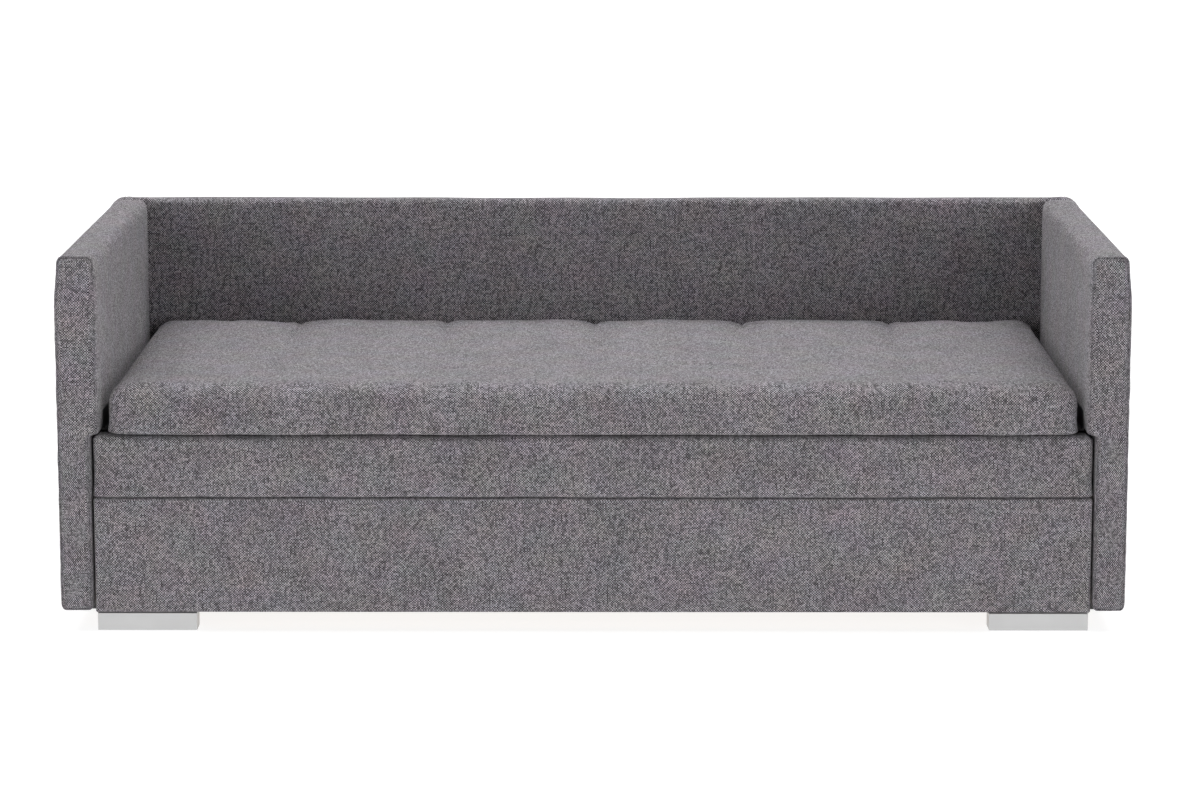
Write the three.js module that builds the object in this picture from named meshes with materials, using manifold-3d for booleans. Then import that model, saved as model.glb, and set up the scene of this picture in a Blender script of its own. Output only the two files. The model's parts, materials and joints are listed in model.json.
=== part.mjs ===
// An upholstered trundle daybed: two padded arms and a padded back carry a cushioned lying platform,
// and a second mattress on a rolling slatted carcass pulls out from under it.
// Millimetres, +Z up. The origin is on the floor under the middle of the footprint.
// The bed's front faces -Y.
import * as THREE from "three";
import { mergeVertices } from "three/addons/utils/BufferGeometryUtils.js";
import Module from "manifold-3d";

const wasm = await Module();
wasm.setup();

// Driving dimensions
const WIDTH = 2200; // over the arms
const DEPTH = 1000; // front of the arms to the rear of the back
const HEIGHT = 785; // floor to the top of the arms and the back
const UPHOLSTERY_BOTTOM = 43; // floor to the underside of the arms and the back
const GAP = 0.3; // between faces that touch

const ARM = {
  thickness: 66, padThickness: 19, padBottom: 413,
  core: 40, innerFoam: 12, frontFoam: 16, topFoam: 15,
};
const BACK = { thickness: 90, core: 60, frontFoam: 14, topFoam: 15, endFoam: 12 };
const SOFT_EDGE = 20; // radius of the padded top edges

const TOP_MATTRESS = { length: 2000, depth: 895, bottom: 416, top: 514, skirt: 34, rearSkirt: 30, edge: 28 };
const PLATFORM = { bottom: 415.8, railHeight: 40, railWidth: 35, deck: 9, clearance: 1 };
const ANGLE = { steel: 3, leg: 42, flange: 75, bottom: 412.5, frontInset: 60, rearInset: 90 };

const FRONT_PANEL = { length: 2054, bottom: 38, top: 281.5, depth: 24, foam: 6, frontFoam: 8, board: 16 };
const CARCASS = { length: 2036, board: 16, bottom: 56.3, top: 266.2, rear: 385 };
const SLAT = { count: 10, width: 90, thickness: 15, endInset: 60 };
const LOW_MATTRESS = { length: 2062, rear: 395, bottom: 281.8, top: 411, edge: 16, lowerEdge: 8 };
const RUNNER = { width: 70, thickness: 20 };

const FRONT_FOOT = {
  width: 205, depth: 50, height: 35.7, clearance: 2, sheet: 2.5, outerEnd: 1024.5, web: 14.5,
};
const FRONT_WHEEL = { radius: 15, width: 20, axle: 3 };
const REAR_WHEEL = { radius: 25, width: 22, axle: 4, y: 310 };
const REAR_FORK = { steel: 3, wheelClearance: 2, plate: 54, depth: 34, tip: 15 };
const AXLE_HEAD = 2; // how far an axle's riveted heads stand proud, outwards and beyond the shaft
const BORE_CLEARANCE = 0.35;

const HIDDEN_FOOT = { width: 38, length: 90, frontInset: 200, rearInset: 10, sideInset: 1 };
const BRACKET = { leg: 60, steel: 4, bottom: 150, height: 120 };
const BOLT = { shank: 4, head: 7, headHeight: 5, length: 48, holeBeyond: 2 };
const BUFFER = { radius: 14, x: 700, z: 160 };

// Places that follow from them
const front = -DEPTH / 2;
const rear = DEPTH / 2;
const armOuter = WIDTH / 2;
const armInner = armOuter - ARM.thickness;
const padInner = armInner - ARM.padThickness;
const backFront = rear - BACK.thickness;
const armRear = backFront - GAP;
const coreInner = armInner + ARM.innerFoam;
const carcassSide = CARCASS.length / 2;
const softFront = front + 3; // the mattresses sit just behind the front of the arms
const panelRear = front + FRONT_PANEL.frontFoam + FRONT_PANEL.board + GAP;
const carcassFront = panelRear + GAP;
const CIRCLE = 24; // sides of a round hole, shaft or wheel

// Finishes
const finish = (color, roughness, metalness = 0) =>
  new THREE.MeshStandardMaterial({ color, roughness, metalness });
const weave = finish(0x73_6e_74, 0.95);
const board = finish(0xb9_9d_78, 0.85);
const pine = finish(0xd8_b8_88, 0.7);
const plywood = finish(0xc9_a9_7a, 0.75);
const blackSteel = finish(0x22_22_24, 0.45, 0.6);
const silver = finish(0xca_ca_ca, 0.35, 0.7);
const zinc = finish(0xb4_b6_b8, 0.35, 0.9);
const blackPlastic = finish(0x1c_1c_1e, 0.6);
const greyWheel = finish(0x5a_5c_60, 0.55);
const rubber = finish(0x19_19_19, 0.9);

const bed = new THREE.Group();
const daybed = new THREE.Group(); // stays put
const trundle = new THREE.Group(); // rolls out to the front
bed.add(daybed, trundle);

// ---- shape helpers

function addMesh(group, name, geometry, material) {
  const mesh = new THREE.Mesh(geometry, material);
  mesh.name = name;
  group.add(mesh);
  return mesh;
}

// A straight-edged block between two limits on each axis.
function addBlock(group, name, material, x, y, z) {
  const mesh = addMesh(group, name, new THREE.BoxGeometry(x[1] - x[0], y[1] - y[0], z[1] - z[0]), material);
  mesh.position.set((x[0] + x[1]) / 2, (y[0] + y[1]) / 2, (z[0] + z[1]) / 2);
  return mesh;
}

const blockGeometry = (x, y, z) =>
  new THREE.BoxGeometry(x[1] - x[0], y[1] - y[0], z[1] - z[0]).translate(
    (x[0] + x[1]) / 2,
    (y[0] + y[1]) / 2,
    (z[0] + z[1]) / 2,
  );

// An outline drawn in (y, z), swept along X.
function extrudeAlongX(shape, x0, x1) {
  const depth = x1 - x0;
  const geometry = new THREE.ExtrudeGeometry(shape, { depth, bevelEnabled: false, curveSegments: 5 });
  const axes = new THREE.Matrix4().makeBasis(
    new THREE.Vector3(0, 1, 0),
    new THREE.Vector3(0, 0, 1),
    new THREE.Vector3(1, 0, 0),
  );
  return geometry.applyMatrix4(axes).translate(x0, 0, 0);
}

// An outline drawn in (x, z), swept along Y.
function extrudeAlongY(shape, y0, y1) {
  const depth = y1 - y0;
  const geometry = new THREE.ExtrudeGeometry(shape, { depth, bevelEnabled: false, curveSegments: 5 });
  return geometry.rotateX(Math.PI / 2).translate(0, y1, 0);
}

// A rectangle whose upper corners, and lower ones if asked, are rounded.
function roundedOutline(u0, u1, v0, v1, topRadius, bottomRadius = 0) {
  const shape = new THREE.Shape();
  shape.moveTo(u0 + bottomRadius, v0);
  shape.lineTo(u1 - bottomRadius, v0);
  if (bottomRadius) shape.absarc(u1 - bottomRadius, v0 + bottomRadius, bottomRadius, -Math.PI / 2, 0, false);
  shape.lineTo(u1, v1 - topRadius);
  shape.absarc(u1 - topRadius, v1 - topRadius, topRadius, 0, Math.PI / 2, false);
  shape.lineTo(u0 + topRadius, v1);
  shape.absarc(u0 + topRadius, v1 - topRadius, topRadius, Math.PI / 2, Math.PI, false);
  shape.lineTo(u0, v0 + bottomRadius);
  if (bottomRadius)
    shape.absarc(u0 + bottomRadius, v0 + bottomRadius, bottomRadius, Math.PI, 1.5 * Math.PI, false);
  return shape;
}

const polygon = (points) => new THREE.Shape(points.map(([u, v]) => new THREE.Vector2(u, v)));

// A round bar along X, centred on a point.
const barAlongX = (radius, length, x, y, z) =>
  new THREE.CylinderGeometry(radius, radius, length, CIRCLE).rotateZ(Math.PI / 2).translate(x, y, z);

const barAlongY = (radius, length, x, y, z) =>
  new THREE.CylinderGeometry(radius, radius, length, CIRCLE).translate(x, y, z);

function toSolid(geometry) {
  const bare = new THREE.BufferGeometry().setAttribute("position", geometry.getAttribute("position"));
  if (geometry.index) bare.setIndex(geometry.index);
  const merged = mergeVertices(bare, 1e-3);
  const mesh = new wasm.Mesh({
    numProp: 3,
    vertProperties: merged.attributes.position.array,
    triVerts: new Uint32Array(merged.index.array),
  });
  return new wasm.Manifold(mesh);
}

function toGeometry(solid) {
  const mesh = solid.getMesh();
  const geometry = new THREE.BufferGeometry();
  geometry.setAttribute("position", new THREE.BufferAttribute(mesh.vertProperties, 3));
  geometry.setIndex(new THREE.BufferAttribute(mesh.triVerts, 1));
  return geometry;
}

// One geometry with others cut out of it.
function cut(geometry, ...tools) {
  let solid = toSolid(geometry);
  for (const tool of tools) solid = solid.subtract(toSolid(tool));
  return toGeometry(solid);
}

// The limits on X of something between two distances from the middle, on the left (-1) or the right (1).
const across = (side, inner, outer) => (side < 0 ? [-outer, -inner] : [inner, outer]);

const SIDES = [
  ["left", -1],
  ["right", 1],
];

// ---- bolts that hold the corner brackets

const bracketX = armInner - GAP; // its faces against the arm and against the back
const bracketY = armRear;
const boltZ = BRACKET.bottom + BRACKET.height / 2;
const armBoltHead = bracketX - BRACKET.steel - GAP; // where the heads seat
const backBoltHead = bracketY - BRACKET.steel - GAP;
const armBoltY = bracketY - BRACKET.leg / 2;
const backBoltX = bracketX - BRACKET.leg / 2;
const boltHole = { radius: BOLT.shank + BORE_CLEARANCE, length: BOLT.length + 2 * BOLT.holeBeyond };

// The holes that the arm's bolt and the back's bolt lie in, a little longer than the bolts at both ends.
const armBoltHole = (side) =>
  barAlongX(boltHole.radius, boltHole.length, side * (armBoltHead + BOLT.length / 2), armBoltY, boltZ);
const backBoltHole = (side) =>
  barAlongY(boltHole.radius, boltHole.length, side * backBoltX, backBoltHead + BOLT.length / 2, boltZ);

// A bolt along +Y: its head below the origin and its shank above.
function boltGeometry() {
  const profile = [
    [0, -BOLT.headHeight],
    [BOLT.head, -BOLT.headHeight],
    [BOLT.head, 0],
    [BOLT.shank, 0],
    [BOLT.shank, BOLT.length],
    [0, BOLT.length],
  ];
  return new THREE.LatheGeometry(
    profile.map(([r, h]) => new THREE.Vector2(r, h)),
    12,
  );
}

// ---- arms: a honeycomb board inside a foam and fabric cover, open underneath and at the back

function addArm(label, side) {
  const pad = side * padInner;
  const inner = side * armInner;
  const outer = side * armOuter;
  const edge = side * SOFT_EDGE;
  const outline = new THREE.Shape();
  outline.moveTo(outer, UPHOLSTERY_BOTTOM);
  outline.lineTo(outer, HEIGHT - SOFT_EDGE);
  outline.quadraticCurveTo(outer, HEIGHT, outer - edge, HEIGHT);
  outline.lineTo(pad + edge, HEIGHT);
  outline.quadraticCurveTo(pad, HEIGHT, pad, HEIGHT - SOFT_EDGE);
  outline.lineTo(pad, ARM.padBottom);
  outline.lineTo(inner, ARM.padBottom);
  outline.lineTo(inner, UPHOLSTERY_BOTTOM);

  const coreX = [coreInner, coreInner + ARM.core];
  const coreFront = front + ARM.frontFoam;
  const coreTop = HEIGHT - ARM.topFoam;
  const cavity = blockGeometry(
    across(side, coreX[0] - GAP, coreX[1] + GAP),
    [coreFront - GAP, armRear + 1],
    [UPHOLSTERY_BOTTOM - 1, coreTop + GAP],
  );
  const padded = extrudeAlongY(outline, front, armRear);
  addMesh(daybed, `${label}_arm_cover`, cut(padded, cavity, armBoltHole(side)), weave);
  const core = blockGeometry(across(side, ...coreX), [coreFront, armRear], [UPHOLSTERY_BOTTOM, coreTop]);
  addMesh(daybed, `${label}_arm_core`, cut(core, armBoltHole(side)), board);

  const { width, length, frontInset, rearInset, sideInset } = HIDDEN_FOOT;
  const footX = across(side, coreInner + sideInset, coreInner + sideInset + width);
  const footZ = [0, UPHOLSTERY_BOTTOM - GAP];
  const footFronts = { front: front + frontInset, rear: armRear - length - rearInset };
  for (const [place, y] of Object.entries(footFronts))
    addBlock(daybed, `${label}_arm_${place}_foot`, blackPlastic, footX, [y, y + length], footZ);
}

// ---- back: the same, across the whole width, with the arms butted against it

function addBack() {
  const outline = roundedOutline(backFront, rear, UPHOLSTERY_BOTTOM, HEIGHT, SOFT_EDGE);
  const coreX = armOuter - BACK.endFoam;
  const coreY = [backFront + BACK.frontFoam, backFront + BACK.frontFoam + BACK.core];
  const coreTop = HEIGHT - BACK.topFoam;
  const holes = SIDES.map(([, side]) => backBoltHole(side));
  const cavity = blockGeometry(
    [-coreX - GAP, coreX + GAP],
    [coreY[0] - GAP, coreY[1] + GAP],
    [UPHOLSTERY_BOTTOM - 1, coreTop + GAP],
  );
  addMesh(daybed, "back_cover", cut(extrudeAlongX(outline, -armOuter, armOuter), cavity, ...holes), weave);
  const core = blockGeometry([-coreX, coreX], coreY, [UPHOLSTERY_BOTTOM, coreTop]);
  addMesh(daybed, "back_core", cut(core, ...holes), board);
  const { width, length } = HIDDEN_FOOT;
  const middle = (coreY[0] + coreY[1]) / 2;
  const footY = [middle - width / 2, middle + width / 2];
  const footZ = [0, UPHOLSTERY_BOTTOM - GAP];
  addBlock(daybed, "back_centre_foot", blackPlastic, [-length / 2, length / 2], footY, footZ);
}

// ---- steel corner brackets that join each arm to the back, low down inside the bay

function addCornerBracket(label, side) {
  const { leg, steel } = BRACKET;
  const shape = polygon(
    [
      [bracketX, bracketY],
      [bracketX - leg, bracketY],
      [bracketX - leg, bracketY - steel],
      [bracketX - steel, bracketY - steel],
      [bracketX - steel, bracketY - leg],
      [bracketX, bracketY - leg],
    ].map(([x, y]) => [side * x, y]),
  );
  const angle = new THREE.ExtrudeGeometry(shape, { depth: BRACKET.height, bevelEnabled: false });
  angle.translate(0, 0, BRACKET.bottom);
  addMesh(daybed, `${label}_corner_bracket`, cut(angle, armBoltHole(side), backBoltHole(side)), blackSteel);

  const armBolt = addMesh(daybed, `${label}_arm_bolt`, boltGeometry(), zinc);
  armBolt.rotation.z = (-side * Math.PI) / 2; // its shank points outwards
  armBolt.position.set(side * armBoltHead, armBoltY, boltZ);
  const backBolt = addMesh(daybed, `${label}_back_bolt`, boltGeometry(), zinc);
  backBolt.position.set(side * backBoltX, backBoltHead, boltZ);
}

// ---- upper lying platform: steel angles, a pine frame, a plywood deck and a cushion that caps them

function addSupportAngles() {
  const top = ANGLE.bottom + ANGLE.steel;
  const profile = (face, towards) => [
    [face, ANGLE.bottom],
    [face, ANGLE.bottom + ANGLE.leg],
    [face + towards * ANGLE.steel, ANGLE.bottom + ANGLE.leg],
    [face + towards * ANGLE.steel, top],
    [face + towards * ANGLE.flange, top],
    [face + towards * ANGLE.flange, ANGLE.bottom],
  ];
  for (const [label, side] of SIDES) {
    const shape = polygon(profile(side * (padInner - GAP), -side));
    const angle = extrudeAlongY(shape, front + ANGLE.frontInset, backFront - ANGLE.rearInset);
    addMesh(daybed, `${label}_support_angle`, angle, blackSteel);
  }
  const rearReach = padInner - ANGLE.rearInset;
  const rearAngle = extrudeAlongX(polygon(profile(backFront - GAP, -1)), -rearReach, rearReach);
  addMesh(daybed, "rear_support_angle", rearAngle, blackSteel);
}

function addPlatform() {
  const z = [PLATFORM.bottom, PLATFORM.bottom + PLATFORM.railHeight];
  const halfLength = TOP_MATTRESS.length / 2 - TOP_MATTRESS.skirt - PLATFORM.clearance;
  const y0 = softFront + TOP_MATTRESS.skirt + PLATFORM.clearance;
  const y1 = softFront + TOP_MATTRESS.depth - TOP_MATTRESS.rearSkirt - PLATFORM.clearance;
  const w = PLATFORM.railWidth;
  addBlock(daybed, "platform_front_rail", pine, [-halfLength, halfLength], [y0, y0 + w], z);
  addBlock(daybed, "platform_rear_rail", pine, [-halfLength, halfLength], [y1 - w, y1], z);
  const between = [y0 + w + GAP, y1 - w - GAP];
  addBlock(daybed, "platform_left_rail", pine, [-halfLength, -halfLength + w], between, z);
  addBlock(daybed, "platform_right_rail", pine, [halfLength - w, halfLength], between, z);
  addBlock(daybed, "platform_centre_rail", pine, [-w / 2, w / 2], between, z);
  const deckBottom = z[1] + GAP;
  const deckZ = [deckBottom, deckBottom + PLATFORM.deck];
  addBlock(daybed, "platform_deck", plywood, [-halfLength, halfLength], [y0, y1], deckZ);

  const { length, depth, bottom, top, skirt, rearSkirt, edge } = TOP_MATTRESS;
  const outline = roundedOutline(softFront, softFront + depth, bottom, top, edge);
  const recess = blockGeometry(
    [skirt - length / 2, length / 2 - skirt],
    [softFront + skirt, softFront + depth - rearSkirt],
    [bottom - 1, deckZ[1] + GAP],
  );
  addMesh(daybed, "upper_mattress", cut(extrudeAlongX(outline, -length / 2, length / 2), recess), weave);
}

// ---- trundle: an upholstered front panel on a board carcass with slats, a mattress, feet and wheels

function addFrontPanel() {
  const { length, bottom, top, depth, foam, frontFoam, board: thickness } = FRONT_PANEL;
  const boardX = length / 2 - foam - GAP;
  const boardZ = [bottom + foam + GAP, top - foam - GAP];
  const boardY = [front + frontFoam + GAP, front + frontFoam + GAP + thickness];
  addBlock(trundle, "front_panel_board", board, [-boardX, boardX], boardY, boardZ);
  const tray = cut(
    blockGeometry([-length / 2, length / 2], [front, front + depth], [bottom, top]),
    blockGeometry(
      [-boardX - GAP, boardX + GAP],
      [boardY[0] - GAP, front + depth + 1],
      [boardZ[0] - GAP, boardZ[1] + GAP],
    ),
  );
  addMesh(trundle, "front_panel_cover", tray, weave);
}

function addCarcass() {
  const { board: thickness, bottom, top, rear: carcassRear } = CARCASS;
  const railY = [carcassFront, carcassFront + thickness];
  const backY = [carcassRear - thickness, carcassRear];
  const fullLength = [-carcassSide, carcassSide];
  addBlock(trundle, "trundle_front_rail", board, fullLength, railY, [FRONT_PANEL.bottom, top]);
  addBlock(trundle, "trundle_back_board", board, fullLength, backY, [bottom, top]);
  const between = [railY[1] + GAP, backY[0] - GAP];
  for (const [label, side] of SIDES) {
    const sideX = across(side, carcassSide - thickness, carcassSide);
    addBlock(trundle, `trundle_${label}_side`, board, sideX, between, [bottom, top]);
    const runnerOuter = carcassSide - thickness - GAP;
    const runnerX = across(side, runnerOuter - RUNNER.width, runnerOuter);
    addBlock(trundle, `trundle_${label}_runner`, pine, runnerX, between, [bottom, bottom + RUNNER.thickness]);
    const buffer = barAlongY(BUFFER.radius, backFront - carcassRear - 2 * GAP, 0, 0, 0);
    const bufferMesh = addMesh(trundle, `trundle_${label}_buffer`, buffer, rubber);
    bufferMesh.position.set(side * BUFFER.x, (backFront + carcassRear) / 2, BUFFER.z);
  }
  const pitch = (CARCASS.length - 2 * SLAT.endInset - SLAT.width) / (SLAT.count - 1);
  for (let i = 0; i < SLAT.count; i++) {
    const x = -carcassSide + SLAT.endInset + i * pitch;
    const z = [top + GAP, top + GAP + SLAT.thickness];
    addBlock(trundle, `trundle_slat_${i + 1}`, pine, [x, x + SLAT.width], [carcassFront, carcassRear], z);
  }
  const { length, edge, lowerEdge, rear: mattressRear } = LOW_MATTRESS;
  const { bottom: mattressBottom, top: mattressTop } = LOW_MATTRESS;
  const outline = roundedOutline(-length / 2, length / 2, mattressBottom, mattressTop, edge, lowerEdge);
  addMesh(trundle, "trundle_mattress", extrudeAlongY(outline, softFront, mattressRear), weave);
}

// A wheel or an axle as a body of revolution about X, from its profile of (radius, distance along the axis).
function turnedAboutX(profile) {
  const points = profile.map(([r, h]) => new THREE.Vector2(r, h));
  return new THREE.LatheGeometry(points, CIRCLE).rotateZ(Math.PI / 2);
}

// The axle spans a fork of the given width over its cheeks.
function addWheelAndAxle(label, { radius, width, axle }, cheeks, x, y) {
  const bore = axle + BORE_CLEARANCE;
  const tread = 2; // the tread's rounded shoulders
  const wheel = turnedAboutX([
    [bore, -width / 2],
    [radius - tread, -width / 2],
    [radius, tread - width / 2],
    [radius, width / 2 - tread],
    [radius - tread, width / 2],
    [bore, width / 2],
    [bore, -width / 2],
  ]);
  const seat = cheeks / 2 + GAP;
  const end = seat + AXLE_HEAD;
  const pin = turnedAboutX([
    [0, -end],
    [axle + AXLE_HEAD, -end],
    [axle + AXLE_HEAD, -seat],
    [axle, -seat],
    [axle, seat],
    [axle + AXLE_HEAD, seat],
    [axle + AXLE_HEAD, end],
    [0, end],
  ]);
  addMesh(trundle, `${label}_wheel`, wheel, greyWheel).position.set(x, y, radius);
  addMesh(trundle, `${label}_axle`, pin, zinc).position.set(x, y, radius);
}

// A low sheet-metal foot, open underneath, with two webs that carry a roller between them.
function addFrontFoot(label, side) {
  const { width, depth, height, clearance, sheet, outerEnd, web } = FRONT_FOOT;
  const middle = side * (outerEnd - width / 2);
  const y = [softFront, softFront + depth];
  const top = clearance + height;
  const hollow = (x0, x1) =>
    blockGeometry([x0, x1], [y[0] + sheet, y[1] - sheet], [clearance - 1, top - sheet]);
  const x = [middle - width / 2, middle + width / 2];
  const axleY = (y[0] + y[1]) / 2;
  const shell = cut(
    blockGeometry(x, y, [clearance, top]),
    hollow(x[0] + sheet, middle - web),
    hollow(middle - web + sheet, middle + web - sheet),
    hollow(middle + web, x[1] - sheet),
    barAlongX(FRONT_WHEEL.axle + BORE_CLEARANCE, 3 * web, middle, axleY, FRONT_WHEEL.radius),
  );
  addMesh(trundle, `${label}_front_foot`, shell, silver);
  addWheelAndAxle(`${label}_front`, FRONT_WHEEL, 2 * web, middle, axleY);
}

// A fixed castor under the rear of each runner: a steel fork with its wheel on a riveted axle.
function addRearCastor(label, side) {
  const x = side * (carcassSide - CARCASS.board - GAP - RUNNER.width / 2);
  const { steel, depth, tip } = REAR_FORK;
  const gap = REAR_WHEEL.width / 2 + REAR_FORK.wheelClearance;
  const outer = gap + steel;
  const plate = REAR_FORK.plate / 2;
  const top = CARCASS.bottom - GAP;
  const outline = polygon(
    [
      [-outer, tip],
      [-gap, tip],
      [-gap, top - steel],
      [gap, top - steel],
      [gap, tip],
      [outer, tip],
      [outer, top - steel],
      [plate, top - steel],
      [plate, top],
      [-plate, top],
      [-plate, top - steel],
      [-outer, top - steel],
    ].map(([u, v]) => [x + u, v]),
  );
  const blank = extrudeAlongY(outline, REAR_WHEEL.y - depth / 2, REAR_WHEEL.y + depth / 2);
  const hole = barAlongX(REAR_WHEEL.axle + BORE_CLEARANCE, 3 * outer, x, REAR_WHEEL.y, REAR_WHEEL.radius);
  addMesh(trundle, `${label}_rear_fork`, cut(blank, hole), zinc);
  addWheelAndAxle(`${label}_rear`, REAR_WHEEL, 2 * outer, x, REAR_WHEEL.y);
}

addBack();
addSupportAngles();
addPlatform();
addFrontPanel();
addCarcass();
for (const [label, side] of SIDES) {
  addArm(label, side);
  addCornerBracket(label, side);
  addFrontFoot(label, side);
  addRearCastor(label, side);
}

export default bed;
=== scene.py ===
"""Trundle bed: a padded daybed, its mattress, and a second mattress on a rolling slatted trundle."""

import json
import math

import bpy
import numpy as np
from bpy.props import FloatProperty, FloatVectorProperty, IntProperty, PointerProperty
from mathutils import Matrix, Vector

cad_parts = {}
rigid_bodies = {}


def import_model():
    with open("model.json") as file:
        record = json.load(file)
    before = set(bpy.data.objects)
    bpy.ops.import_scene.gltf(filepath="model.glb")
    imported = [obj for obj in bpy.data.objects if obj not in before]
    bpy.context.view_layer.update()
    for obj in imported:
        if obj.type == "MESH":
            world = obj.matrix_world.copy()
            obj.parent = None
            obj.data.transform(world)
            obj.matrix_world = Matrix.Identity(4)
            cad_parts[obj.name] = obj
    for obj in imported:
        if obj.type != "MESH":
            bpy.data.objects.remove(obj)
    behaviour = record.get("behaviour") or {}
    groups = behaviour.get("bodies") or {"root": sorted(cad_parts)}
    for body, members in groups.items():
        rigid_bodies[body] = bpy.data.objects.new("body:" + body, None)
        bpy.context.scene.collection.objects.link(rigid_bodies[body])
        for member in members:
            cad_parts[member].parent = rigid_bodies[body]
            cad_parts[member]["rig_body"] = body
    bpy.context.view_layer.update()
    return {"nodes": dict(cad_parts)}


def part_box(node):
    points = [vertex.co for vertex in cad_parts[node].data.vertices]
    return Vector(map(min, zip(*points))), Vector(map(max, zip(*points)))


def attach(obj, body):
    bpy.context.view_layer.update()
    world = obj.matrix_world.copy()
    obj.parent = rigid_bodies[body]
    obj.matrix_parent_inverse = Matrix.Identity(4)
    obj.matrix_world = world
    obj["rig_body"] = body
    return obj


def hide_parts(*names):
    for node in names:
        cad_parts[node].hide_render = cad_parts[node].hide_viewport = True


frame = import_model()

bl_info = {
    "name": "Trundle bed",
    "version": (1, 0, 0),
    "blender": (4, 5, 0),
    "location": "View3D > Sidebar > Trundle bed",
    "description": "Makes a trundle bed's upholstery, timber, steel and wheels, and a plain studio",
    "category": "Add Mesh",
}

MM = 0.001
UV_NAME = "surface"
GREY_WEAVE = "grey_weave"


# ---------------------------------------------------------------- settings


class ClothSettings(bpy.types.PropertyGroup):
    """The woven cover fabric."""

    thread: FloatProperty(
        name="Thread", description="Width of one yarn", default=0.0027, min=0.0005, unit="LENGTH"
    )
    dark: FloatVectorProperty(
        name="Charcoal yarn", description="Colour of the darkest yarn", subtype="COLOR",
        size=3, default=(0.012, 0.010, 0.012),
    )
    light: FloatVectorProperty(
        name="Light yarn", description="Colour of the lightest yarn", subtype="COLOR",
        size=3, default=(0.545, 0.515, 0.55),
    )
    slub: FloatProperty(
        name="Slub length", description="How long a thick stretch of yarn is", default=0.032, unit="LENGTH"
    )
    relief: FloatProperty(
        name="Relief", description="Height of a yarn over its neighbours", default=0.0005, unit="LENGTH"
    )


class FinishSettings(bpy.types.PropertyGroup):
    """Colours of the timber, steel, plastic and rubber."""

    pine: FloatVectorProperty(
        name="Pine", description="Planed softwood", subtype="COLOR", size=3, default=(0.68, 0.48, 0.25)
    )
    board: FloatVectorProperty(
        name="Core board", description="Raw particle board", subtype="COLOR", size=3,
        default=(0.48, 0.34, 0.19),
    )
    plywood: FloatVectorProperty(
        name="Plywood", description="Thin birch plywood", subtype="COLOR", size=3,
        default=(0.58, 0.40, 0.19),
    )
    steel: FloatVectorProperty(
        name="Black steel", description="Powder-coated steel", subtype="COLOR", size=3,
        default=(0.016, 0.016, 0.018),
    )
    silver: FloatVectorProperty(
        name="Silver paint", description="The front feet's paint", subtype="COLOR", size=3,
        default=(0.58, 0.58, 0.58),
    )
    zinc: FloatVectorProperty(
        name="Zinc plate", description="Bolts, brackets and axles", subtype="COLOR", size=3,
        default=(0.45, 0.46, 0.47),
    )
    plastic: FloatVectorProperty(
        name="Black plastic", description="Moulded feet", subtype="COLOR", size=3,
        default=(0.012, 0.012, 0.013),
    )
    nylon: FloatVectorProperty(
        name="Wheel nylon", description="Moulded wheels", subtype="COLOR", size=3,
        default=(0.10, 0.105, 0.115),
    )
    rubber: FloatVectorProperty(
        name="Rubber", description="Buffers", subtype="COLOR", size=3, default=(0.010, 0.010, 0.010)
    )


class PadSettings(bpy.types.PropertyGroup):
    """How the padded pieces are rounded and filled."""

    pitch: FloatProperty(
        name="Mesh pitch", description="Spacing of the cloth grid", default=0.014, min=0.006, unit="LENGTH"
    )
    seat_edge: FloatProperty(
        name="Seat edge", description="Radius of the upper mattress's top edge", default=0.030, unit="LENGTH"
    )
    seat_corner: FloatProperty(
        name="Seat corner", description="Radius of its corners from above", default=0.036, unit="LENGTH"
    )
    lower_edge: FloatProperty(
        name="Lower mattress edge", description="Radius of the trundle mattress's top edge",
        default=0.013, unit="LENGTH",
    )
    back_top: FloatProperty(
        name="Back top edge", description="Radius of the back's top edges", default=0.014, unit="LENGTH"
    )
    back_end: FloatProperty(
        name="Back end edge", description="Radius of the back's upright ends", default=0.020, unit="LENGTH"
    )
    quilting: IntProperty(
        name="Cross seams", description="Seams across each mattress", default=5, min=0, max=9
    )
    seam_depth: FloatProperty(
        name="Seam depth", description="How deep a cross seam pulls in at the rear", default=0.006,
        unit="LENGTH",
    )
    pressure: FloatProperty(
        name="Filling pressure", description="Pressure of the filling on the cover", default=4.0
    )


class StageSettings(bpy.types.PropertyGroup):
    """Camera, floor and lights."""

    camera_place: FloatVectorProperty(
        name="Camera place", description="Where the camera stands", subtype="XYZ", unit="LENGTH",
        size=3, default=(0.0384, -8.2266, 1.8787),
    )
    camera_tilt: FloatProperty(
        name="Camera tilt", description="How far the camera looks down", default=0.178196, unit="ROTATION"
    )
    camera_turn: FloatProperty(
        name="Camera turn", description="How far the camera turns to the left", default=0.00304,
        unit="ROTATION",
    )
    lens: FloatProperty(name="Lens", description="Focal length in millimetres", default=115.035)
    floor_half: FloatProperty(
        name="Floor half width", description="Half the floor's side", default=60.0, unit="LENGTH"
    )
    floor_colour: FloatVectorProperty(
        name="Floor", description="Floor colour", subtype="COLOR", size=3, default=(0.28, 0.28, 0.28)
    )
    floor_glow: FloatProperty(
        name="Floor glow", description="Light that the backlit floor gives by itself", default=0.85
    )
    sky: FloatProperty(name="Sky", description="Strength of the even light", default=0.04)
    front_light: FloatProperty(
        name="Front lights", description="Strength of each low light in front", default=1.0
    )
    side_light: FloatProperty(
        name="Side lights", description="Strength of each light at the sides", default=0.80
    )
    top_light: FloatProperty(
        name="Top lights", description="Strength of each high light", default=1.95
    )


SETTINGS = {
    "bed_cloth": ClothSettings,
    "bed_finish": FinishSettings,
    "bed_pads": PadSettings,
    "bed_stage": StageSettings,
}


# ---------------------------------------------------------------- surfaces


def ease(t):
    """Smooth step: 3t^2 - 2t^3 on t held between 0 and 1."""
    t = np.clip(t, 0.0, 1.0)
    return t * t * (3.0 - 2.0 * t)


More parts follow.
